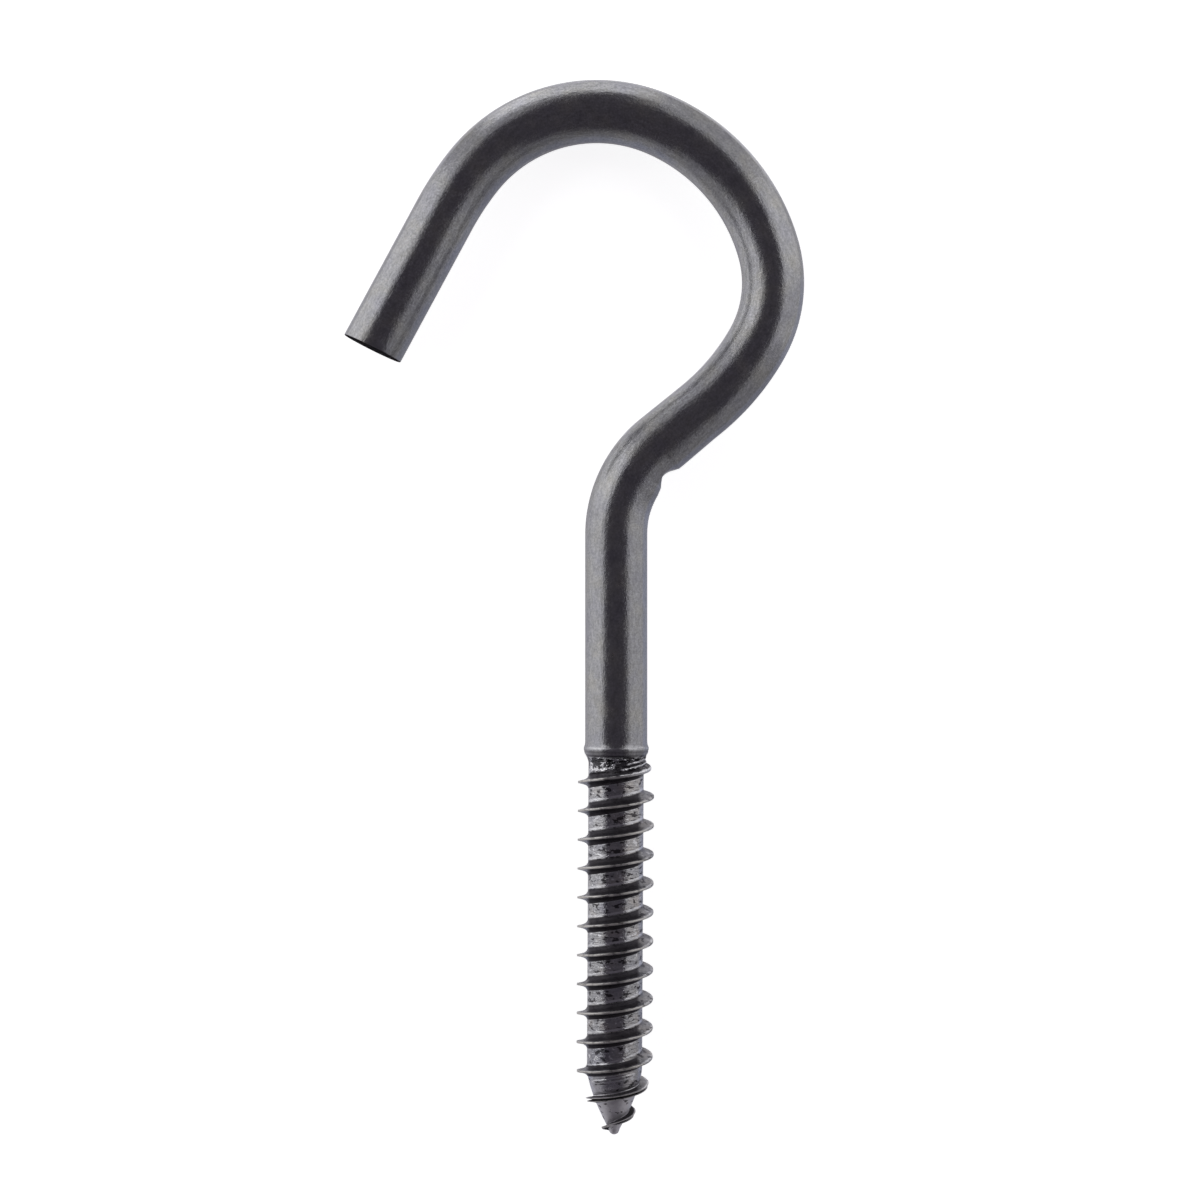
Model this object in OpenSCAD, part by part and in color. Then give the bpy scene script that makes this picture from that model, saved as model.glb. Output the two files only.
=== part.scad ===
// Screw hook: one length of round steel wire with a rolled lag thread and a bent bow.
// Frame: X across the hook, Y along the screw towards the bow, Z up; the hook lies on its side.
// The origin is on the screw's axis, at the shoulder where the thread starts.

/* [Wire] */
// Diameter of the round wire
wire_d = 5.9; // [5.4:0.1:6.2]
// Bevel round the cut face of the free end
end_bevel = 0.2; // [0.1:0.05:0.5]

/* [Thread] */
// Length from the shoulder to the tip
screw_len = 36.2; // [25:0.1:45]
// Diameter over the crests of the thread
thread_d = 7.25; // [6.8:0.05:8.4]
// Diameter of the core between the ridges
core_d = 5.25; // [4.4:0.05:5.3]
// Distance from one ridge to the next
pitch = 2.74; // [2.2:0.02:3.6]
// Width of the ridge where it leaves the core
ridge_w = 1.15; // [0.9:0.05:1.4]
// Width of the flat crest of the ridge
crest_w = 0.2; // [0.1:0.05:0.4]
// Width of the ridge's crest at its start and on the point, where it is a rounded bead
bead_w = 0.7; // [0.5:0.05:0.8]
// Turns in which the ridge grows out of the core below the shoulder
run_in_turns = 1; // [0.5:0.25:2]

/* [Shoulder] */
// Diameter of the lip that thread rolling raises at the shoulder
lip_d = 6.16; // [6:0.02:6.6]
// Length of the lip's widest part
lip_flat = 0.4; // [0.2:0.05:0.6]
// Length of wire over which the lip swells
lip_len = 0.8; // [0.5:0.1:2]
// Length of the step from the lip down to the core
step_len = 0.85; // [0.4:0.05:1]

/* [Point] */
// Length of the tapered point
point_len = 6.3; // [4.5:0.1:9]
// Diameter of the blunt tip
tip_d = 1; // [0.6:0.1:1.6]
// Height of the ridge above the core at the end of the point
tip_ridge_h = 0.6; // [0.2:0.02:0.8]

/* [Shank and neck] */
// Straight wire between the shoulder and the neck
shank_len = 20.75; // [10:0.25:40]
// Radius of the neck bend at the middle of the wire
neck_r = 11.2; // [8:0.1:16]
// Angle of the neck bend
neck_a = 51.2; // [35:0.2:60]
// Straight wire between the neck and the bow
throat_len = 4.85; // [2:0.05:10]
// Radius of the bending pin's mark inside the neck
mark_r = 1.8; // [1.2:0.1:2.4]
// Depth of the mark
mark_depth = 0.4; // [0.1:0.05:0.6]
// Place of the mark along the neck bend
mark_a = 42; // [25:1:45]

/* [Bow] */
// Radius of the bow where it opens from the throat
flare_r = 22.3; // [16:0.1:30]
// Angle of that first stretch
flare_a = 21.4; // [10:0.2:30]
// Radius of the bow at its widest place
side_r = 11.75; // [9:0.05:18]
// Angle of that stretch
side_a = 45.4; // [35:0.2:55]
// Radius of the bow from its side to its top
top_r = 18.3; // [14:0.1:24]
// Angle of that stretch
top_a = 51.2; // [40:0.2:60]
// Radius of the bow beyond its top
far_r = 14.95; // [11:0.05:20]
// Angle of that stretch
far_a = 74.9; // [60:0.1:90]
// Radius at which the bow runs out into the free leg
exit_r = 28.8; // [20:0.1:40]
// Angle of that last stretch
exit_a = 9.9; // [4:0.1:16]
// Straight free leg of the hook, to its cut face
leg_len = 14.3; // [8:0.1:24]

/* [Hidden] */

steel = "#4b484d";
wire_r = wire_d / 2;
core_r = core_d / 2;
tip_r = tip_d / 2;
ridge_h = (thread_d - core_d) / 2;

// The bow's stretches in order, as radius and angle
BOW = [[flare_r, flare_a], [side_r, side_a], [top_r, top_a], [far_r, far_a], [exit_r, exit_a]];

// Heading of the wire before stretch i of the bow, in degrees from +X
function heading(i) = i == 0 ? 90 - neck_a : heading(i - 1) + BOW[i - 1][1];

// How far the first i stretches of the bow climb before the wire turns back down
function climb(i) =
    i == 0 ? 0
    : climb(i - 1) + BOW[i - 1][0] * (cos(min(heading(i - 1), 180)) - cos(min(heading(i), 180)));

bow_top_y = shank_len + neck_r * sin(neck_a) + throat_len * sin(heading(0)) + climb(len(BOW));

// Stretches that follow each other are one wire. Every second one is slimmer by a hair and runs
// a little way into both its neighbours, so that they grow together into one solid.
lap = 0.25;
lap_step = 0.01;

// The thread's crests are wider than the wire, so the lying hook dips towards its bow.
// It rests on the first full crest of its lower side and on the top of the bow.
first_crest_y = -(run_in_turns + 0.25) * pitch;
rest_tilt = asin((thread_d - wire_d) / 2 / (bow_top_y - first_crest_y));

// The point tapers in a slight curve, from the core to the blunt tip
point_y = -screw_len + point_len;
taper_len = point_len - tip_r;
taper_power = 1.5;
point_steps = 12;
tip_steps = 5;

// Radius of the core at the height y on the screw's axis
function core_at(y) =
    y > point_y ? core_r
    : core_r - (core_r - tip_r) * pow(min((point_y - y) / taper_len, 1), taper_power);

// The ridge starts and ends buried in the core, and its end stays clear of the rounded tip
buried = 0.1;
root_depth = 0.06;
steps_per_turn = 24;
end_turns = 0.15;
turns = (screw_len - tip_r - ridge_w / 2 - buried) / pitch;
ridge_steps = floor(turns * steps_per_turn);
// A blade's flank is hollow, and a bead's is full: these are the shares of the flank's width that are
// left at the waist, which is at this share of the ridge's height
waist_height = 0.32;
hollow_width = 0.33;
full_width = 0.7;
// Turns over which the ridge changes between bead and blade
bead_change = 0.5;

// Height of the ridge above the core after t turns
function height_at(t) =
    let (grown = sin(90 * min(t / run_in_turns, 1)))
    let (down = min(max(point_y + t * pitch, 0) / taper_len, 1))
    let (ending = min((turns - t) / end_turns, 1))
    (ridge_h + buried - (ridge_h - tip_ridge_h) * down) * min(grown, ending) - buried;

// Share of the bead in the ridge's form after t turns: all at its start and on the point
function bead_at(t) =
    let (closing = (t - run_in_turns) / bead_change + 1)
    let (opening = (-point_y / pitch - t) / bead_change + 1)
    1 - min(max(min(closing, opening), 0), 1);

// One point of the ridge: its angle round the axis, its distance along it and its radius
function on_screw(turn_a, y, r) = [-r * cos(turn_a), y, -r * sin(turn_a)];

// The ridge's section after t turns, from its upper root over the crest to its lower root
function ridge_section(t) =
    let (y = -t * pitch)
    let (h = height_at(t))
    let (bead = bead_at(t))
    let (root = ridge_w / 2)
    let (crest = (crest_w + (bead_w - crest_w) * bead) / 2)
    let (waist = crest + (root - crest) * (hollow_width + (full_width - hollow_width) * bead))
    let (waist_h = h * waist_height)
    let (root_h = min(h, 0) - root_depth)
    [
        on_screw(360 * t, y + root, core_at(y + root) + root_h),
        on_screw(360 * t, y + waist, core_at(y + waist) + waist_h),
        on_screw(360 * t, y + crest, core_at(y + crest) + h),
        on_screw(360 * t, y - crest, core_at(y - crest) + h),
        on_screw(360 * t, y - waist, core_at(y - waist) + waist_h),
        on_screw(360 * t, y - root, core_at(y - root) + root_h),
    ];

// The helical ridge, as a tube of sections with a cap at each end
module thread_ridge() {
    sections = [for (i = [0:ridge_steps]) ridge_section(i / steps_per_turn)];
    n = len(sections[0]);
    sides = [
        for (i = [0:ridge_steps - 1], j = [0:n - 1])
        [i * n + j, i * n + (j + 1) % n, (i + 1) * n + (j + 1) % n, (i + 1) * n + j]
    ];
    first_cap = [for (j = [n - 1:-1:0]) j];
    last_cap = [for (j = [0:n - 1]) ridge_steps * n + j];
    polyhedron([for (s = sections) each s], concat(sides, [first_cap, last_cap]));
}

// Everything that is round about the screw's axis: shank, lip, core, point and tip
module straight_stock() {
    core_line = [for (i = [0:point_steps]) let (y = point_y - taper_len * i / point_steps) [core_at(y), y]];
    tip_line = [for (i = [1:tip_steps]) let (a = 90 * i / tip_steps)
        [tip_r * cos(a), -screw_len + tip_r - tip_r * sin(a)]];
    lip_line = [[wire_r, lip_flat + lip_len], [lip_d / 2, lip_flat], [lip_d / 2, 0], [core_r, -step_len]];
    outline = concat([[0, shank_len], [wire_r, shank_len]], lip_line, core_line, tip_line);
    rotate([-90, 0, 0]) rotate_extrude($fn = 96) polygon(outline);
}

// A straight run of wire, with what follows it at its end
module run(length) {
    rotate([-90, 0, 0]) cylinder(r = wire_r, h = length, $fn = 96);
    translate([0, length, 0]) children();
}

// A bend's tube about its centre, from the angle 0 to a
module bend_tube(r, a, slim) {
    past = slim ? lap / r * 180 / PI : 0;
    rotate([0, 0, -past])
        rotate_extrude(angle = a + 2 * past, $fn = 180)
        translate([r, 0])
        circle(r = slim ? wire_r - lap_step : wire_r, $fn = 96);
}

// A bend to the left, with what follows it at its end
module bend_left(r, a, slim = false) {
    translate([-r, 0, 0]) {
        bend_tube(r, a, slim);
        rotate([0, 0, a]) translate([r, 0, 0]) children();
    }
}

// A bend to the right, with what follows it at its end
module bend_right(r, a, slim = false) {
    translate([r, 0, 0]) {
        rotate([0, 0, 180 - a]) bend_tube(r, a, slim);
        rotate([0, 0, -a]) translate([-r, 0, 0]) children();
    }
}

// The cut end of the wire
module cut_end() {
    rotate([-90, 0, 0]) cylinder(d1 = wire_d, d2 = wire_d - 2 * end_bevel, h = end_bevel, $fn = 96);
}

// The wire from the end of the shank: neck, throat, bow and free leg
module bent_wire() {
    translate([0, shank_len, 0])
        bend_right(neck_r, neck_a, slim = true)
        run(throat_len)
        bend_left(flare_r, flare_a, slim = true)
        bend_left(side_r, side_a)
        bend_left(top_r, top_a, slim = true)
        bend_left(far_r, far_a)
        bend_left(exit_r, exit_a, slim = true)
        run(leg_len - end_bevel)
        cut_end();
}

// The groove that the bending pin pressed into the inside of the neck
module bending_mark() {
    reach = neck_r - wire_r + mark_depth - mark_r;
    translate([neck_r, shank_len, 0]) rotate([0, 0, 180 - mark_a]) translate([reach, 0, 0])
        cylinder(r = mark_r, h = 2 * wire_d, center = true, $fn = 72);
}

module screw_hook() {
    color(steel) rotate([-rest_tilt, 0, 0]) union() {
        difference() {
            union() {
                straight_stock();
                bent_wire();
            }
            bending_mark();
        }
        thread_ridge();
    }
}

screw_hook();
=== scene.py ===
# The looks of a screw hook: one length of blackened steel wire with a rolled thread and a bent bow.
# It is shaped as the real one is: the thread is rolled on straight wire, and the wire is bent after that.
import math

import bmesh
import bpy
import numpy as np
from mathutils import Matrix, Vector


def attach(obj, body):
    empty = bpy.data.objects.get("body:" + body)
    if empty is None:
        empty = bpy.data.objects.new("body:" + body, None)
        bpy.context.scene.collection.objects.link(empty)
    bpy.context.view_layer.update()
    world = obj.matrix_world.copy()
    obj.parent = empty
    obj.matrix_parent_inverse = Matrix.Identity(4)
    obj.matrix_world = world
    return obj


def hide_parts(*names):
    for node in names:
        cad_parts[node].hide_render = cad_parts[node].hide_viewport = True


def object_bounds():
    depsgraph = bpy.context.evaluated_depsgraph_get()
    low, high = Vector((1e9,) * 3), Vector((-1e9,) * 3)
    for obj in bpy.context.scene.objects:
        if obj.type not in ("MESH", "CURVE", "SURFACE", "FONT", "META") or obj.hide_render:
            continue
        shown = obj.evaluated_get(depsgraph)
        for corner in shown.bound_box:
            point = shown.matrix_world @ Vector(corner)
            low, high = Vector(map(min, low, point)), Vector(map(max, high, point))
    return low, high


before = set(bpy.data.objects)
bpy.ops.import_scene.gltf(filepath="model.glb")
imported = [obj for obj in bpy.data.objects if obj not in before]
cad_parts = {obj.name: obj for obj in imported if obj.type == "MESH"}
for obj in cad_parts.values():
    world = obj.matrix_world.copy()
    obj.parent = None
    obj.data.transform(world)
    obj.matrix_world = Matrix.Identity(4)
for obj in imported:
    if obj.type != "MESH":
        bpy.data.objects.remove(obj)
cad_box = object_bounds()

# All lengths are metres, and MM is one millimetre. The axes are the hook's own: +Y runs along the screw
# towards the bow, the origin is at the shoulder where the thread starts, and +Z is up.
MM = 0.001

# Places closer than this count as the same
NEAR = 0.001 * MM

# Wire, and the columns of faces round it
WIRE_R = 2.95 * MM
COLUMNS = 120

# Rolled thread: a blade of a ridge with a slightly crowned crest, and flanks whose form is mostly hollow
SCREW_LEN = 36.2 * MM
PITCH = 2.74 * MM
CORE_R = 2.625 * MM
RIDGE_H = 1.0 * MM
CREST_HALF = 0.1 * MM
ROOT_HALF = 0.6 * MM
CROWN = 0.02
HOLLOW = 0.75
HOLLOW_POWER = 4
RUN_IN_TURNS = 1.0
# The thread's skin ends at this height, and the ridge fades over these lengths at its top and at the tip
THREAD_TOP = -0.1 * MM
TOP_FADE = 0.4 * MM
TIP_FADE = 0.2 * MM
# Painted shade darkens the corners along the ridge, to these distances above and below its middle, and a
# painted highlight lies on the core along the upper one
SHADE_ABOVE = 0.74 * MM
SHADE_BELOW = 0.68 * MM
HIGHLIGHT_WIDTH = 0.28 * MM
SHADE_FADE = 0.06 * MM
HIGHLIGHT_FADE = 0.1 * MM
# The finish reads the ridge's share of its full height at each place. Beside the ridge, where that share
# is 0, these low values stand for the painted shade and for the painted highlight. A ridge lower than
# LOW_RIDGE has less of that finish.
SHADE_SHARE = 0.07
HIGHLIGHT_SHARE = 0.02
LOW_RIDGE = 0.3 * MM

# The skin of the thread has so many rows to a turn, crowded at the crest to this share of even spacing. It is
# swept over more turns than the thread has, and what is past the thread's ends falls together there.
ROWS_PER_TURN = 36
CROWDING = 0.4
FIRST_TURN = -1
LAST_TURN = 15

# Where the dies haven't closed the ridge it is a bead, and on the point it has a groove along its middle: the
# turn from which it closes or opens, the bead's half width, the width of its flank, and the groove's share of
# the bead's height
BEAD_CHANGE = 0.5
START_BEAD = (0.5, 0.46 * MM, 0.36 * MM, 0.0)
POINT_BEAD = (10.95, 0.34 * MM, 0.17 * MM, 0.65)
GROOVE_HALF = 0.14 * MM
# Near its end the bead narrows to a plain spur: the turn where that starts, the turns that it takes, the
# share of the width that is left, and the turn where the spur ends, with the turns that its end takes
SPUR_START = 12.5
SPUR_CHANGE = 0.4
SPUR_WIDTH = 0.5
SPUR_END = 13.04
SPUR_END_CHANGE = 0.03

# Small ridges that the ends of the dies leave: the half width of one, the power of its steep outline, and the
# turns over which it rises and falls. Then each one's first and last turn, its distance above the main ridge
# and its height in millimetres, and the share of the main ridge's painted shade and highlight that it has.
DIE_MARK_HALF = 0.15 * MM
DIE_MARK_POWER = 4
DIE_MARK_START = 0.06
DIE_MARK_END = 0.1
DIE_MARKS = (
    (0.44, 0.80, 0.56, 0.24, 1.0),
    (0.50, 0.77, 0.98, 0.20, 1.0),
    (0.56, 0.76, 1.42, 0.12, 1.0),
    (10.58, 10.98, -0.50, 0.06, 0.045),
    (10.60, 10.95, -1.05, 0.06, 0.045),
)

# Shoulder: the lip that the dies pushed up, as heights and radii in millimetres, and the step from it down to
# the core
LIP_LINE = (
    (0.0, 3.0),
    (0.14, 3.03),
    (0.28, 3.065),
    (0.4, 3.085),
    (0.5, 3.09),
    (0.58, 3.08),
    (0.66, 3.045),
    (0.8, 2.99),
    (1.0, 2.96),
    (1.2, 2.95),
)
STEP_R = 2.93 * MM
STEP_LEN = 0.85 * MM
STEP_POWER = 1.3

# Point
POINT_LEN = 6.3 * MM
TIP_R = 0.5 * MM
TIP_RIDGE_H = 0.6 * MM
TAPER_POWER = 1.5
# The rounded tip is grown from this angle of its dome on, in so many rings, and closed from a last small one
TIP_START = math.radians(30)
TIP_RINGS = 5
LAST_RING = 0.02
SLEEVE_END = -SCREW_LEN + TIP_R * (1 - math.sin(TIP_START))

# The screw leans a little to the left of the shank, by this much at its tip
LEAN = 0.2 * MM

# The wire's path after the straight shank: radius and angle of each bend, and the straight runs.
# A bend to the left is positive, and one to the right is negative.
SHANK_LEN = 20.75 * MM
NECK = (11.2 * MM, -51.2)
THROAT_LEN = 4.85 * MM
BOW = ((22.3 * MM, 21.4), (11.75 * MM, 45.4), (18.3 * MM, 51.2), (14.95 * MM, 74.9), (28.8 * MM, 9.9))
LEG_LEN = 14.3 * MM
RING_SPACING = 0.5 * MM

# Cut face of the free end: its worn edge in steps of its quarter circle, the rings of the flat face as shares
# of the wire's radius, and how far the cutter ran askew across the last of the wire
END_BEVEL = 0.1 * MM
END_STEPS = (30, 60, 90)
END_RINGS = (0.85, 0.6, 0.35, 0.12)
END_SKEW = 0.04
SKEWED_LEN = 3 * MM

# The mark that the bending pin pressed into the inside of the neck, as places along the wire and how far the
# wire's side stands out there, or is pressed in where the value is below 0, in millimetres. What stands out
# fades from the wire's side to this share of its radius.
MARK_FADE = 0.2
MARK_LINE = (
    (23.0, 0.0),
    (24.5, 0.05),
    (26.0, 0.11),
    (26.8, 0.06),
    (27.15, 0.0),
    (27.42, -0.15),
    (27.97, -0.38),
    (28.3, -0.51),
    (28.98, -0.47),
    (29.5, -0.33),
    (29.92, -0.14),
    (30.25, 0.0),
    (30.55, 0.11),
    (31.2, 0.11),
    (33.0, 0.06),
    (35.0, 0.0),
)
MARK_SPACING = 0.1 * MM

# The crests stand out beyond the wire, so the hook dips towards the top of its bow
REST_TILT = math.radians(0.601)

# Faces that meet at less than this angle are shaded as one smooth skin
SMOOTH_ANGLE = math.radians(50)

# Colours: bright steel where the black oxide is rubbed off, which also serves for painted highlights, painted
# shade, pits, the painted highlight on the ridge's crest, and the thin dull oxide of the point
BARE_STEEL_AND_HIGHLIGHT = "#dcdcdf"
PAINTED_SHADE = "#3f3c41"
PIT = "#232125"
CREST_HIGHLIGHT = "#cbc8c3"
WORN_POINT = "#e2e0e4"

# What the oxide mirrors at a grazing angle, a little less than bright metal would
GRAZING = "#d6d6da"

# Marks at a height of the wire, as pairs of that height in millimetres and the share of the mark there: the
# scuffed belt under the lip, lines of painted shade in the corners below the lip and its rim, a painted
# highlight along the rim, and the point
BELT = ((-2.1, 0), (-1.6, 1), (-0.35, 1), (-0.25, 0))
CORNER = ((-0.32, 0), (-0.2, 0.8), (-0.1, 0.8), (0.0, 0), (0.12, 0), (0.2, 0.3), (0.26, 0.3), (0.32, 0))
RIM = ((0.4, 0), (0.5, 0.5), (0.6, 0.5), (0.72, 0))
POINT = ((-33.5, 1), (-30.0, 0))
# Depth of the scuffs in the belt, in millimetres, and how much more of its blotches shows as bare or pitted
SCUFF_RELIEF = 0.5
SCUFFED = 0.09

# Sizes of the patterns in millimetres: grain of the oxide, drawn coarser than the real 0.05 mm so that it
# shows, blotches of rubbed and pitted steel, and clouds of thicker and thinner oxide
GRAIN_SIZE = 0.2
BLOTCH_SIZE = (0.75, 0.42, 0.75)
CLOUD_SIZE = 2.5
# How much the grain and the tool's pattern darken and brighten the oxide, and where among the clouds' values
# its three tints are
GRAIN_SHADES = (0.8, 1.2)
LINE_SHADES = (0.86, 1.14)
TINT_PLACES = (0.34, 0.5, 0.66)
# How fully the point's oxide, the bare spots and the pits hide what is under them, and over how much of the
# blotches' range spots and pits fade in
WORN_COVER = 0.95
BARE_COVER = 0.9
PIT_COVER = 0.85
SPOT_FADE = 0.04
# The point has fewer pits
WORN_PITS = 0.05
# Strength of the painted highlights on the crest and on the lip's rim, from the lowest to the highest
# blotches
CREST_SHADES = (0.45, 1.1)
RIM_SHADES = (0.0, 1.0)
# The clouds make the finish duller and smoother by this much, and the worn point, the painted shade and the
# crest's painted highlight add to it
UNEVEN = 0.04
WORN_DULL = 0.42
SHADE_DULL = 0.55
CREST_DULL = 0.45

# The finish of the thread, as pairs of the ridge's share and the strength of the finish there: painted shade
# on the flanks and beside them, a painted highlight beyond, a painted highlight on the crest, and painted
# highlights on the crests in the belt
FLANK = ((0.03, 0), (0.06, 0.94), (0.7, 0.94), (0.9, 0))
EDGE = ((0.006, 0), (0.012, 0.75), (0.022, 0.75), (0.03, 0))
CREST = ((0.88, 0), (0.96, 0.85))
BELT_CREST = ((0.8, 0), (0.92, 1))
# The painted shade is lighter at the sides of the thread: pairs of the place across it and the share of
# painted shade there
SIDES = ((-2.8, 0.25), (-2.4, 1), (2.05, 1), (2.35, 0.6), (2.9, 0.55))
# and of the crest's painted highlight, which is weaker at its right ends
CREST_SIDES = ((2.6, 1), (3.1, 0.4))

# A light tent: white panels stand upright in a ring round the hook, open at the top, where the camera looks
# in. Each has its direction in degrees from +X, the angle from straight up at which it starts, the radiance
# of its upper part and of its lower part, and the lower part's colour. The lower panels reach far below the
# floor, so that the wire's sides see them as they would above a deep white box.
TENT_RADIUS = 0.3
TENT_WAIST = -0.15
TENT_BOTTOM = -0.8
TENT_MIDDLE = Vector((0, 15 * MM, 0))
NEUTRAL = "#ffffff"
COOL = "#ebf0ff"
TENT = (
    (0, 43, 0.69, 0.72, COOL),
    (30, 38, 1.04, 0.72, NEUTRAL),
    (60, 46, 0.56, 1.20, NEUTRAL),
    (90, 70, 1.20, 1.15, NEUTRAL),
    (120, 50, 0.50, 1.05, NEUTRAL),
    (150, 41, 1.28, 0.88, NEUTRAL),
    (180, 48, 1.00, 0.88, NEUTRAL),
    (210, 58, 0.34, 0.68, NEUTRAL),
    (240, 79, 0.34, 0.54, COOL),
    (270, 82, 0.24, 0.44, COOL),
    (300, 72, 0.26, 0.36, COOL),
    (330, 50, 0.30, 0.44, COOL),
)
# One more stands just before the walls where the bow's outer side shines: its direction, start and radiance,
# and its distance and width as shares of a wall's
BRIGHT_PANEL = (112, 78, 1.15)
BRIGHT_DISTANCE = 0.97
BRIGHT_WIDTH = 0.5
# Radiance of the panel under the whole tent, and the colour and radiance of the dim overhead
FLOOR_PANEL = 0.5
OVERHEAD = "#f6ecff"
OVERHEAD_RADIANCE = 0.1
# The floor glows a little to the camera, and it ends inside the tent, where it is evenly lit
FLOOR_WHITE = "#f4f4f4"
FLOOR_GLOW = 0.81
FLOOR_SIZE = 0.55

# The photograph is 1200 pixels square, with 10.53 of them to a millimetre. These say where its middle is on
# the hook, in the hook's own plane, and how far its camera stands above that plane.
VIEW_X, VIEW_Y = -1.54 * MM, 14.54 * MM
CAMERA_HEIGHT = 218 * MM
SEEN_WIDTH = 1200 / 10.53 * MM
# Width of the camera's sensor in its own millimetres, and the least distance at which it sees anything
SENSOR = 36
NEAREST_SEEN = 10 * MM


def only(piece):
    """Selects this piece and nothing else."""
    bpy.ops.object.select_all(action="DESELECT")
    piece.select_set(True)
    bpy.context.view_layer.objects.active = piece


def edit(piece):
    """Opens the piece in edit mode, with vertices as what is selected."""
    only(piece)
    bpy.ops.object.mode_set(mode="EDIT")
    bpy.ops.mesh.select_mode(type="VERT")


def pick(piece, test):
    """In edit mode, selects the vertices whose place passes the test, and nothing else."""
    bpy.ops.mesh.select_all(action="DESELECT")
    mesh = bmesh.from_edit_mesh(piece.data)
    for vert in mesh.verts:
        vert.select = test(vert.co)
    mesh.select_flush(True)
    bmesh.update_edit_mesh(piece.data)


def places(piece):
    """The places of the piece's vertices, one row each."""
    found = np.zeros(len(piece.data.vertices) * 3)
    piece.data.vertices.foreach_get("co", found)
    return found.reshape(-1, 3)


def put(piece, rows):
    """Moves the piece's vertices to the places in rows."""
    piece.data.vertices.foreach_set("co", rows.astype(np.float32).ravel())
    piece.data.update()


def smooth(x):
    """A soft step from 0 to 1 as x goes from 0 to 1."""
    x = np.clip(x, 0, 1)
    return x * x * (3 - 2 * x)


def core_radius(y):
    """Radius of the core at the height y, with the step at the shoulder, the taper and the rounded tip."""
    down = np.clip((-SCREW_LEN + POINT_LEN - y) / (POINT_LEN - TIP_R), 0, 1)
    taper = CORE_R - (CORE_R - TIP_R) * down**TAPER_POWER
    past = np.clip(-SCREW_LEN + TIP_R - y, 0, TIP_R)
    step = (STEP_R - CORE_R) * np.clip((y + STEP_LEN) / (THREAD_TOP + STEP_LEN), 0, 1) ** STEP_POWER
    return np.where(past > 0, np.sqrt(TIP_R**2 - past**2), taper) + step


def ridge_height(turn):
    """Height of the ridge's crest above the core after so many turns."""
    grown = np.sin(np.pi / 2 * np.clip(turn / RUN_IN_TURNS, 0, 1))
    down = np.clip((-SCREW_LEN + POINT_LEN + turn * PITCH) / (POINT_LEN - TIP_R), 0, 1)
    ended = smooth((SPUR_END - turn) / SPUR_END_CHANGE)
    return (RIDGE_H - (RIDGE_H - TIP_RIDGE_H) * down) * grown * ended


def ridge_form(turn, across):
    """Share of the crest's height at a distance across the ridge."""
    aside = np.abs(across)
    flank = np.clip((ROOT_HALF - aside) / (ROOT_HALF - CREST_HALF), 0, 1)
    crowned = 1 - CROWN * np.clip(aside / CREST_HALF, 0, 1) ** 2
    form = crowned * (HOLLOW * flank**HOLLOW_POWER + (1 - HOLLOW) * flank)
    narrowing = smooth((turn - SPUR_START) / SPUR_CHANGE)
    size = 1 - (1 - SPUR_WIDTH) * narrowing
    past_start = turn - START_BEAD[0]
    before_point = POINT_BEAD[0] + BEAD_CHANGE - turn
    for bead, outside in ((START_BEAD, past_start), (POINT_BEAD, before_point)):
        _, half, width, depth = bead
        groove = depth * (1 - narrowing) * smooth(1 - aside / GROOVE_HALF)
        rounded = smooth((half * size - aside) / (width * size)) * (1 - groove)
        form = rounded + (form - rounded) * smooth(outside / BEAD_CHANGE)
    return form


def thread_rise(y, column):
    """How far the skin stands above the core at a height and a share of the way round, and the ridge's share
    there, as the finish reads it, with low shares beside the ridge for its painted shade and painted
    highlight."""
    turn = column + np.round(-y / PITCH - column)
    clear = smooth((THREAD_TOP - y) / TOP_FADE) * smooth((y - SLEEVE_END) / TIP_FADE)
    across = y + turn * PITCH
    share = ridge_form(turn, across) * clear
    rise = ridge_height(turn) * share
    for first, last, above, height, toning in DIE_MARKS:
        here = first + np.mod(column - first, 1)
        beside = y + here * PITCH - above * MM
        fade = smooth((here - first) / DIE_MARK_START) * smooth((last - here) / DIE_MARK_END)
        mark = np.exp(-((beside / DIE_MARK_HALF) ** DIE_MARK_POWER)) * fade
        rise = rise + height * MM * mark
        # the mark takes this share of the ridge's painted shade and painted highlights
        share = np.maximum(share, toning * mark)
    # a painted highlight on the core above the ridge, and painted shade in the corners above and below it
    brightened = HIGHLIGHT_SHARE * smooth((SHADE_ABOVE + HIGHLIGHT_WIDTH - across) / HIGHLIGHT_FADE)
    above = brightened + (SHADE_SHARE - HIGHLIGHT_SHARE) * smooth((SHADE_ABOVE - across) / SHADE_FADE)
    below = SHADE_SHARE * smooth((SHADE_BELOW + across) / SHADE_FADE)
    corner = np.where(across > 0, above, below) * clear * smooth((POINT_BEAD[0] - turn) / BEAD_CHANGE)
    return rise, np.maximum(share, corner) * smooth(ridge_height(turn) / LOW_RIDGE)


def around(rows):
    """Share of the way round the wire of each place, from the left side over the underside."""
    angle = np.arctan2(-rows[:, 2], -rows[:, 0])
    return np.round(angle / math.tau * COLUMNS) / COLUMNS


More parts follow.
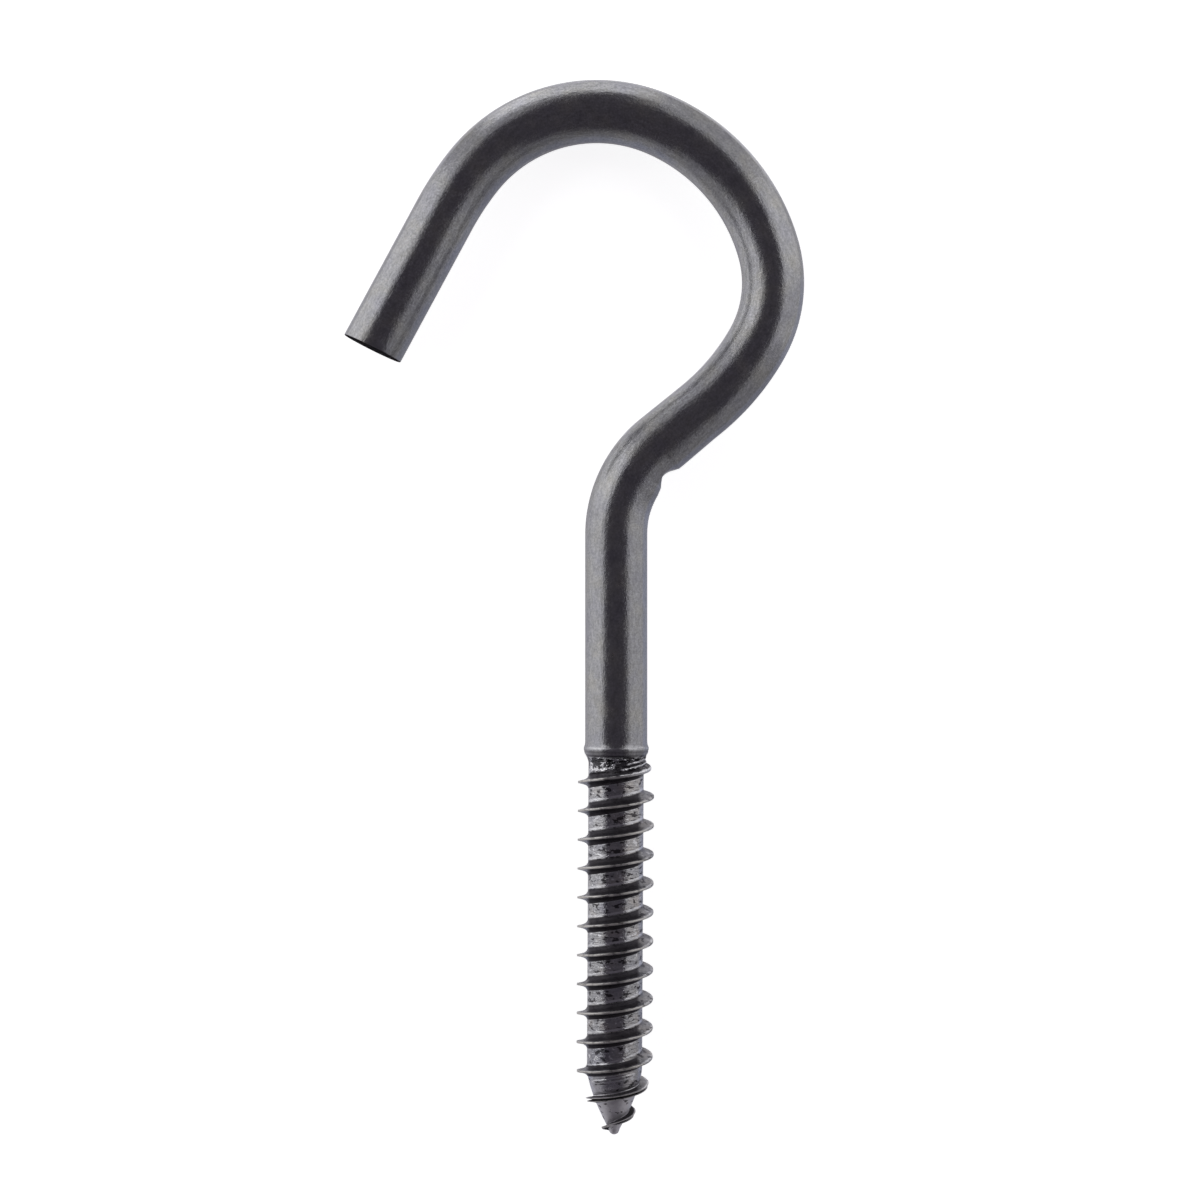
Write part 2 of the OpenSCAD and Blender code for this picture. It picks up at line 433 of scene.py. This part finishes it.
def thread_sleeve():
    """The skin of the screw: one pitch of its outline swept round the axis, turn below turn."""
    bpy.ops.object.select_all(action="DESELECT")
    bpy.ops.mesh.primitive_plane_add(size=PITCH, location=(-CORE_R, -FIRST_TURN * PITCH, 0))
    sleeve = bpy.context.object
    sleeve.name = "hook_wire"
    sleeve.data.name = "hook_wire"
    bpy.ops.object.transform_apply(location=True, rotation=False, scale=False)
    edit(sleeve)
    # the plane keeps its left edge alone, which becomes the line that is swept
    pick(sleeve, lambda place: place.x > -CORE_R)
    bpy.ops.mesh.delete(type="VERT")
    bpy.ops.mesh.select_all(action="SELECT")
    bpy.ops.mesh.subdivide(number_cuts=ROWS_PER_TURN - 1)
    bpy.ops.object.mode_set(mode="OBJECT")
    rows = places(sleeve)
    even = rows[:, 1] / PITCH + FIRST_TURN
    rows[:, 1] = (CROWDING * even + (1 - CROWDING) * 4 * even**3 - FIRST_TURN) * PITCH
    put(sleeve, rows)
    sweep = sleeve.modifiers.new("thread", "SCREW")
    sweep.axis = "Y"
    sweep.angle = -math.tau
    sweep.screw_offset = -PITCH
    sweep.iterations = LAST_TURN - FIRST_TURN
    sweep.steps = COLUMNS
    sweep.render_steps = COLUMNS
    sweep.use_merge_vertices = False
    bpy.ops.object.modifier_apply(modifier=sweep.name)
    return sleeve


def roll_thread(sleeve):
    """Gives the sleeve its core, ridge and point, and trims it at the shoulder and near the tip."""
    rows = places(sleeve)
    y = np.clip(rows[:, 1], SLEEVE_END, THREAD_TOP)
    column = around(rows)
    radius = core_radius(y) + thread_rise(y, column)[0]
    turned = column * math.tau
    put(sleeve, np.column_stack([-radius * np.cos(turned), y, -radius * np.sin(turned)]))
    edit(sleeve)
    bpy.ops.mesh.select_all(action="SELECT")
    bpy.ops.mesh.remove_doubles(threshold=NEAR / 2)
    bpy.ops.object.mode_set(mode="OBJECT")


def grow_ring(piece, y, radius):
    """The selected ring of the open edge is extruded to the height y and takes the new radius."""
    mesh = bmesh.from_edit_mesh(piece.data)
    first = next(vert.co for vert in mesh.verts if vert.select)
    size = radius / math.hypot(first.x, first.z)
    bpy.ops.mesh.extrude_region_move(TRANSFORM_OT_translate={"value": (0, y - first.y, 0)})
    bpy.ops.transform.resize(value=(size, 1, size), center_override=(0, y, 0))


def round_tip(piece):
    """Closes the lower end with the rounded tip."""
    low = min(row[1] for row in places(piece))
    edit(piece)
    pick(piece, lambda place: place.y < low + NEAR)
    for ring in range(1, TIP_RINGS):
        a = TIP_START + (math.pi / 2 - TIP_START) * ring / TIP_RINGS
        grow_ring(piece, -SCREW_LEN + TIP_R - TIP_R * math.sin(a), TIP_R * math.cos(a))
    grow_ring(piece, -SCREW_LEN, TIP_R * LAST_RING)
    bpy.ops.mesh.merge(type="CENTER")
    bpy.ops.object.mode_set(mode="OBJECT")


def wire_length():
    """Length of the wire from the shoulder to its cut face."""
    bends = sum(radius * math.radians(abs(angle)) for radius, angle in (NECK,) + BOW)
    return SHANK_LEN + THROAT_LEN + LEG_LEN + bends


def draw_wire(piece):
    """The lip and the straight wire, grown from the screw's open upper edge."""
    edit(piece)
    pick(piece, lambda place: place.y > THREAD_TOP - NEAR)
    for height, radius in LIP_LINE:
        grow_ring(piece, height * MM, radius * MM)
    stops = (
        (MARK_LINE[0][0] * MM, RING_SPACING),
        (MARK_LINE[-1][0] * MM, MARK_SPACING),
        (wire_length() - END_BEVEL, RING_SPACING),
    )
    here = LIP_LINE[-1][0] * MM
    for stop, spacing in stops:
        grow_ring(piece, stop, WIRE_R)
        pick(piece, lambda place: here - NEAR < place.y < stop + NEAR)
        lengthwise = bmesh.from_edit_mesh(piece.data)
        bpy.ops.mesh.select_mode(type="EDGE")
        # only the edges that run all the way from the one ring to the other
        for edge in lengthwise.edges:
            ends = edge.verts
            edge.select = edge.select and abs(ends[0].co.y - ends[1].co.y) > 0.5 * (stop - here)
        bmesh.update_edit_mesh(piece.data)
        cuts = round((stop - here) / spacing) - 1
        bpy.ops.mesh.subdivide_edgering(number_cuts=cuts, interpolation="LINEAR")
        bpy.ops.mesh.select_mode(type="VERT")
        pick(piece, lambda place: place.y > stop - NEAR)
        here = stop
    bpy.ops.object.mode_set(mode="OBJECT")


def cut_face(piece):
    """The free end: a worn edge, and the flat face that the cutter left."""
    end = wire_length()
    edit(piece)
    pick(piece, lambda place: place.y > end - END_BEVEL - NEAR)
    for degrees in END_STEPS:
        turned = math.radians(degrees)
        height = end - END_BEVEL * (1 - math.sin(turned))
        grow_ring(piece, height, WIRE_R - END_BEVEL * (1 - math.cos(turned)))
    for share in END_RINGS:
        grow_ring(piece, end, WIRE_R * share)
    bpy.ops.mesh.merge(type="CENTER")
    bpy.ops.object.mode_set(mode="OBJECT")


def press_mark(piece):
    """Presses the bending pin's mark into the side that will be the inside of the neck, with the lips of
    steel that it pushed up on both sides."""
    rows = places(piece)
    line = np.array(MARK_LINE) * MM
    stands = np.interp(rows[:, 1], line[:, 0], line[:, 1])
    side = smooth((rows[:, 0] / WIRE_R - MARK_FADE) / (1 - MARK_FADE))
    rows[:, 0] += np.maximum(stands, 0) * side
    rows[:, 0] = np.where(stands < 0, np.minimum(rows[:, 0], WIRE_R + stands), rows[:, 0])
    put(piece, rows)


def skew_end(piece):
    """Makes the free end as askew as the cutter left it: the bow's outer side is the longer one."""
    rows = places(piece)
    share = smooth((rows[:, 1] - wire_length() + SKEWED_LEN) / SKEWED_LEN)
    rows[:, 1] += END_SKEW * (WIRE_R + rows[:, 0]) * share
    put(piece, rows)


def paint(piece, slot, test):
    """Gives the material in this slot to the faces whose corners all pass the test."""
    edit(piece)
    pick(piece, test)
    piece.active_material_index = slot
    bpy.ops.object.material_slot_assign()
    bpy.ops.object.mode_set(mode="OBJECT")


def bend(rows):
    """Bends straight wire: a point at the height y goes to that length along the path, and keeps its distance
    from the wire's middle."""
    bent = rows.copy()
    bent[:, 0] += LEAN * np.minimum(rows[:, 1], 0) / SCREW_LEN
    spans = [(NECK[0], NECK[1]), (THROAT_LEN, 0), *BOW, (LEG_LEN + SKEWED_LEN, 0)]
    start, heading, travelled = np.array([0, SHANK_LEN]), math.pi / 2, SHANK_LEN
    for size, degrees in spans:
        turn = math.radians(degrees)
        length = size * abs(turn) if turn else size
        here = rows[:, 1] > travelled
        ahead, aside = rows[here, 1] - travelled, rows[here, 0]
        forward = np.array([math.cos(heading), math.sin(heading)])
        right = np.array([math.sin(heading), -math.cos(heading)])
        if turn:
            side = math.copysign(1, -turn)
            centre = start + side * right * size
            angle = ahead / size
            reach = size - side * aside
            across = -side * np.outer(reach * np.cos(angle), right)
            bent[here, :2] = centre + across + np.outer(reach * np.sin(angle), forward)
            end = centre - side * right * size * math.cos(turn) + forward * size * abs(math.sin(turn))
        else:
            bent[here, :2] = start + np.outer(ahead, forward) + np.outer(aside, right)
            end = start + forward * length
        start, heading, travelled = end, heading + turn, travelled + length
    return bent


def shape_hook():
    """The whole hook as one closed skin."""
    hook = thread_sleeve()
    roll_thread(hook)
    round_tip(hook)
    draw_wire(hook)
    cut_face(hook)
    for finish in (drawn_finish(), rolled_finish(), sheared_finish()):
        hook.data.materials.append(finish)
    paint(hook, 1, lambda place: place.y < THREAD_TOP + NEAR)
    # the cutter's face takes in the outer half of the worn edge
    paint(hook, 2, lambda place: place.y > wire_length() - END_BEVEL / 2 - NEAR)
    press_mark(hook)
    skew_end(hook)
    rows = places(hook)
    straight = hook.data.attributes.new("straight_wire", "FLOAT_VECTOR", "POINT")
    straight.data.foreach_set("vector", (rows / MM).astype(np.float32).ravel())
    # the ridge's share, which also places the painted shade and painted highlights along the thread
    ridge = hook.data.attributes.new("ridge", "FLOAT", "POINT")
    ridge.data.foreach_set("value", thread_rise(rows[:, 1], around(rows))[1].astype(np.float32))
    put(hook, bend(rows))
    hook.data.transform(Matrix.Rotation(-REST_TILT, 4, "X"))
    edit(hook)
    bpy.ops.mesh.select_all(action="SELECT")
    bpy.ops.mesh.normals_make_consistent(inside=False)
    bpy.ops.object.mode_set(mode="OBJECT")
    only(hook)
    bpy.ops.object.shade_smooth_by_angle(angle=SMOOTH_ANGLE)
    return hook


def linear(hex_colour):
    """A colour written as sRGB hex, as the linear values that a shader takes."""
    shades = [int(hex_colour[i : i + 2], 16) / 255 for i in (1, 3, 5)]
    return tuple(c / 12.92 if c <= 0.04045 else ((c + 0.055) / 1.055) ** 2.4 for c in shades) + (1.0,)


def add(material, kind, settings=None, **inputs):
    """Adds a node. settings are its own options, and inputs are values or the sockets that feed it."""
    made = material.node_tree.nodes.new(kind)
    for name, value in (settings or {}).items():
        setattr(made, name, value)
    for name, value in inputs.items():
        key = int(name[1:]) if name[1:].isdigit() and name[0] == "i" else name.replace("_", " ")
        if isinstance(value, bpy.types.NodeSocket):
            material.node_tree.links.new(value, made.inputs[key])
        else:
            made.inputs[key].default_value = value
    return made


def ramp(material, factor, stops):
    """Adds a colour ramp that is fed by factor, with stops as place and colour."""
    made = add(material, "ShaderNodeValToRGB", Fac=factor)
    points = made.color_ramp.elements
    while len(points) < len(stops):
        points.new(0.5)
    for point, (place, colour) in zip(points, stops):
        point.position = place
        point.color = colour
    return made.outputs["Color"]


def new_material(name):
    """An empty node material."""
    made = bpy.data.materials.new(name)
    made.use_nodes = True
    made.node_tree.nodes.clear()
    return made


def spread(material, value, low, high, start=0.3, end=0.7):
    """Adds a node that stretches the values from start to end, as a noise has, over the range low to high."""
    limits = {"From_Min": start, "From_Max": end, "To_Min": low, "To_Max": high}
    return add(material, "ShaderNodeMapRange", Value=value, **limits).outputs[0]


def noise(material, where, size, detail=3.0, roughness=0.6):
    """Adds a noise whose features have this size in millimetres, the same or one for x, y and z."""
    sizes = size if isinstance(size, tuple) else (size, size, size)
    scaled = add(material, "ShaderNodeMapping", Vector=where, Scale=tuple(1 / length for length in sizes))
    grown = {"Vector": scaled.outputs[0], "Scale": 1.0, "Detail": detail, "Roughness": roughness}
    return add(material, "ShaderNodeTexNoise", **grown).outputs["Fac"]


def sum_of(material, *terms):
    """Adds up pairs of a value and its weight."""
    total = 0.0
    for value, weight in terms:
        total = add(material, "ShaderNodeMath", {"operation": "MULTIPLY_ADD"}, i0=value, i1=weight, i2=total)
        total = total.outputs[0]
    return total


def product(material, first, second):
    """Multiplies two values."""
    return add(material, "ShaderNodeMath", {"operation": "MULTIPLY"}, i0=first, i1=second).outputs[0]


def blend(material, share, under, over):
    """Adds a mix of two colours."""
    return add(material, "ShaderNodeMix", {"data_type": "RGBA"}, i0=share, i6=under, i7=over).outputs[2]


def mask(material, value, *stops):
    """Adds a mask that runs through these pairs of a value and the share there."""
    first, last = stops[0][0], stops[-1][0]
    placed = spread(material, value, 0, 1, first, last)
    shades = [((place - first) / (last - first), (share, share, share, 1.0)) for place, share in stops]
    return ramp(material, placed, shades)


def blackened_steel(
    name, line_size, tints, roughness, line_relief, grain_relief, bare, pits, edge=GRAZING
):
    """Steel with a thin black oxide. line_size is the pattern that the tool left, tints the oxide's colours,
    line_relief and grain_relief the depth of that pattern and of the oxide's grain in millimetres, bare and
    pits the values of the blotches above which bright steel shows and below which the oxide is pitted, and
    edge the colour of what it mirrors at a grazing angle."""
    steel = new_material(name)
    # the wire's own coordinates, in millimetres along and across the wire before it was bent
    wire = add(steel, "ShaderNodeAttribute", {"attribute_name": "straight_wire"}).outputs["Vector"]
    across, along, _ = add(steel, "ShaderNodeSeparateXYZ", Vector=wire).outputs
    ridge = add(steel, "ShaderNodeAttribute", {"attribute_name": "ridge"}).outputs["Fac"]
    lines = noise(steel, wire, line_size)
    grain = noise(steel, wire, GRAIN_SIZE, roughness=0.65)
    blotches = noise(steel, wire, BLOTCH_SIZE, detail=2.0)
    clouds = noise(steel, wire, CLOUD_SIZE, detail=4.0)
    belt = mask(steel, along, *BELT)
    worn = mask(steel, along, *POINT)

    tint = ramp(steel, clouds, tuple(zip(TINT_PLACES, map(linear, tints))))
    speckled = product(steel, spread(steel, grain, *GRAIN_SHADES), spread(steel, lines, *LINE_SHADES))
    toning = add(steel, "ShaderNodeVectorMath", {"operation": "SCALE"}, Vector=tint, Scale=speckled).outputs[0]
    colour = blend(steel, product(steel, worn, WORN_COVER), toning, linear(WORN_POINT))
    # bright steel in spots and black pits between them, and more of both in the scuffed belt
    spots = sum_of(steel, (blotches, 1.0), (belt, SCUFFED))
    brightened = mask(steel, spots, (bare, 0), (bare + SPOT_FADE, BARE_COVER))
    hollows = sum_of(steel, (blotches, 1.0), (belt, -SCUFFED), (worn, WORN_PITS))
    pitted = mask(steel, hollows, (pits - SPOT_FADE, PIT_COVER), (pits, 0))
    colour = blend(steel, pitted, colour, linear(PIT))
    colour = blend(steel, brightened, colour, linear(BARE_STEEL_AND_HIGHLIGHT))
    # a painted highlight along the ridge, and painted shade on its flanks and in the corners under the lip
    colour = blend(steel, mask(steel, ridge, *EDGE), colour, linear(BARE_STEEL_AND_HIGHLIGHT))
    flank_shade = product(steel, mask(steel, ridge, *FLANK), mask(steel, across, *SIDES))
    colour = blend(steel, flank_shade, colour, linear(PAINTED_SHADE))
    colour = blend(steel, mask(steel, along, *CORNER), colour, linear(PAINTED_SHADE))
    # painted highlights on the crest, on the crests in the belt and on the lip's rim
    crest = product(steel, mask(steel, ridge, *CREST), spread(steel, blotches, *CREST_SHADES))
    shown_crest = product(steel, crest, mask(steel, across, *CREST_SIDES))
    colour = blend(steel, shown_crest, colour, linear(CREST_HIGHLIGHT))
    belt_crest = product(steel, mask(steel, ridge, *BELT_CREST), belt)
    colour = blend(steel, belt_crest, colour, linear(BARE_STEEL_AND_HIGHLIGHT))
    rim = product(steel, mask(steel, along, *RIM), spread(steel, blotches, *RIM_SHADES))
    colour = blend(steel, rim, colour, linear(BARE_STEEL_AND_HIGHLIGHT))

    scuffs = product(steel, blotches, belt)
    depth = sum_of(steel, (lines, line_relief), (grain, grain_relief), (scuffs, SCUFF_RELIEF))
    bump = add(steel, "ShaderNodeBump", Strength=1.0, Distance=MM, Height=depth)
    # the worn point, the painted shade and the crest's painted highlight are duller than the burnished oxide
    uneven = spread(steel, clouds, roughness - UNEVEN, roughness + UNEVEN)
    dulled = ((worn, WORN_DULL), (flank_shade, SHADE_DULL), (crest, CREST_DULL))
    dullness = sum_of(steel, (uneven, 1.0), *dulled)
    skin = add(
        steel,
        "ShaderNodeBsdfPrincipled",
        Base_Color=colour,
        Metallic=1.0,
        Specular_Tint=linear(edge),
        Roughness=dullness,
        Normal=bump.outputs[0],
    )
    add(steel, "ShaderNodeOutputMaterial", Surface=skin.outputs[0])
    return steel


def drawn_finish():
    """The drawn wire: satin and a little mottled, with short marks along it from the die, 0.3 mm apart."""
    return blackened_steel(
        "blackened_drawn_steel",
        line_size=(0.3, 0.95, 0.3),
        tints=("#909095", "#959597", "#989795"),
        roughness=0.235,
        line_relief=0.02,
        grain_relief=0.016,
        bare=0.8,
        pits=0.2,
    )


def rolled_finish():
    """The rolled thread: burnished by the dies, so it mirrors sharply, with short marks round the core."""
    return blackened_steel(
        "burnished_rolled_steel",
        line_size=(0.7, 0.2, 0.7),
        tints=("#9c9ca3", "#a8a8aa", "#b0acaa"),
        roughness=0.12,
        line_relief=0.055,
        grain_relief=0.01,
        bare=0.62,
        pits=0.43,
    )


def sheared_finish():
    """The cut face: matt and dark, with the scoring of the cutter across it."""
    return blackened_steel(
        "sheared_steel",
        line_size=(0.16, 1.0, 1.6),
        tints=("#2c2a2f", "#343237", "#3c3836"),
        roughness=0.6,
        line_relief=0.04,
        grain_relief=0.03,
        bare=0.75,
        pits=0.4,
        edge="#2c2a2f",
    )


def white_floor():
    """A matt white studio floor: white to the camera, with a faint shadow under the hook."""
    paint = new_material("matt_white_floor")
    path = add(paint, "ShaderNodeLightPath")
    matt = add(paint, "ShaderNodeBsdfDiffuse", Color=linear(FLOOR_WHITE))
    glow = add(paint, "ShaderNodeEmission", Color=linear("#ffffff"), Strength=FLOOR_GLOW)
    lit = add(paint, "ShaderNodeAddShader", i0=matt.outputs[0], i1=glow.outputs[0])
    seen = path.outputs["Is Camera Ray"]
    shown = add(paint, "ShaderNodeMixShader", i0=seen, i1=matt.outputs[0], i2=lit.outputs[0])
    add(paint, "ShaderNodeOutputMaterial", Surface=shown.outputs[0])
    bpy.ops.object.select_all(action="DESELECT")
    bpy.ops.mesh.primitive_plane_add(size=FLOOR_SIZE, location=(0, 0, cad_box[0].z))
    floor = bpy.context.object
    floor.name = "floor"
    floor.data.materials.append(paint)
    floor.visible_glossy = False
    floor.visible_shadow = False


def soft_panel(name, place, facing, width, height, radiance, colour):
    """A flat soft lamp of this size and radiance."""
    lamp = bpy.data.lights.new(name, "AREA")
    lamp.shape = "RECTANGLE"
    lamp.size = width
    lamp.size_y = height
    lamp.color = linear(colour)[:3]
    lamp.energy = radiance * math.pi * width * height
    stand = bpy.data.objects.new(name, lamp)
    stand.location = TENT_MIDDLE + place
    stand.rotation_euler = facing.to_track_quat("-Z", "Y").to_euler()
    stand.visible_camera = False
    bpy.context.scene.collection.objects.link(stand)


def wall_top(start):
    """Height of the upper edge of a wall that starts at this angle from straight up."""
    return TENT_RADIUS / math.tan(math.radians(start))


def tent_wall(azimuth, top, bottom, radiance, colour, nearness=1.0, share=1.0):
    """One upright panel of the tent. nearness and share are its distance and width as shares of a wall's."""
    turn = Matrix.Rotation(math.radians(azimuth), 4, "Z")
    distance = nearness * TENT_RADIUS
    place = turn @ Vector((distance, 0, (top + bottom) / 2))
    width = 2 * distance * math.tan(math.pi / len(TENT)) * share
    facing = turn @ Vector((-1, 0, 0))
    soft_panel(f"tent_wall_{azimuth}_{top > 0}", place, facing, width, top - bottom, radiance, colour)


def studio():
    """The tent, and a dim grey overhead. The camera sees white past the floor's edge."""
    for azimuth, start, upper, lower, colour in TENT:
        tent_wall(azimuth, wall_top(start), TENT_WAIST, upper, NEUTRAL)
        tent_wall(azimuth, TENT_WAIST, TENT_BOTTOM, lower, colour)
    azimuth, start, radiance = BRIGHT_PANEL
    tent_wall(azimuth, wall_top(start), TENT_WAIST, radiance, NEUTRAL, BRIGHT_DISTANCE, BRIGHT_WIDTH)
    width, below, upwards = 2 * TENT_RADIUS, Vector((0, 0, TENT_BOTTOM)), Vector((0, 0, 1))
    soft_panel("tent_floor", below, upwards, width, width, FLOOR_PANEL, NEUTRAL)
    world = bpy.data.worlds.new("studio")
    world.use_nodes = True
    world.node_tree.nodes.clear()
    path = add(world, "ShaderNodeLightPath")
    dim = add(world, "ShaderNodeBackground", Color=linear(OVERHEAD), Strength=OVERHEAD_RADIANCE)
    white = add(world, "ShaderNodeBackground", Color=linear("#ffffff"), Strength=1.0)
    seen = path.outputs["Is Camera Ray"]
    shown = add(world, "ShaderNodeMixShader", i0=seen, i1=dim.outputs[0], i2=white.outputs[0])
    add(world, "ShaderNodeOutputWorld", Surface=shown.outputs[0])
    bpy.context.scene.world = world


def place_camera():
    """Looks straight down on the hook's plane, as the photograph does."""
    camera = bpy.data.cameras.new("camera")
    camera.sensor_width = SENSOR
    camera.lens = SENSOR * CAMERA_HEIGHT / SEEN_WIDTH
    camera.clip_start = NEAREST_SEEN
    stand = bpy.data.objects.new("camera", camera)
    tilt = Matrix.Rotation(-REST_TILT, 4, "X")
    stand.matrix_world = tilt @ Matrix.Translation((VIEW_X, VIEW_Y, CAMERA_HEIGHT))
    bpy.context.scene.collection.objects.link(stand)
    bpy.context.scene.camera = stand


hook = shape_hook()
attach(hook, "root")
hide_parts("screw_hook")

white_floor()
studio()
place_camera()
bpy.context.scene.view_settings.view_transform = "Standard"
